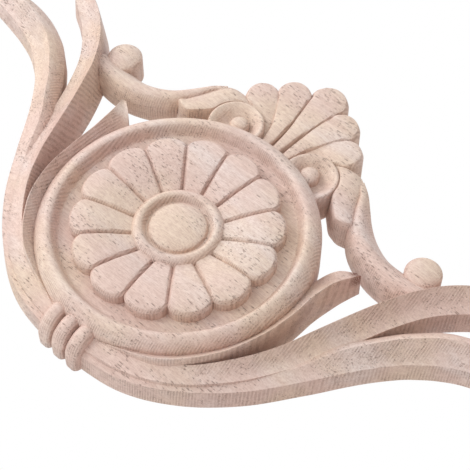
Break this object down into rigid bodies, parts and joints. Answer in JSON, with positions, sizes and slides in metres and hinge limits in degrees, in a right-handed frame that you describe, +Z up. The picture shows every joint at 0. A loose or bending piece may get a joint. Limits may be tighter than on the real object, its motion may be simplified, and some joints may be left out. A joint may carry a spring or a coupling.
{
  "type": "carved wood applique",
  "caption": "Carved wood applique: a rosette in a round rim, a palmette above it and swept leaf strands to each side, with a flat back for fixing to furniture, a door or a wall.",
  "frame": {"origin": "centre of the round rosette, on the flat back face", "axes": "+X along the width, +Y into the surface it is fixed to, +Z up towards the palmette; the carving faces -Y"},
  "size_m": [0.1908, 0.0121, 0.0972],
  "materials": {
    "wood": "unfinished, as machined and sanded"
  },
  "bodies": {
    "root": {"carved_applique": "wood"}
  },
  "joints": []
}
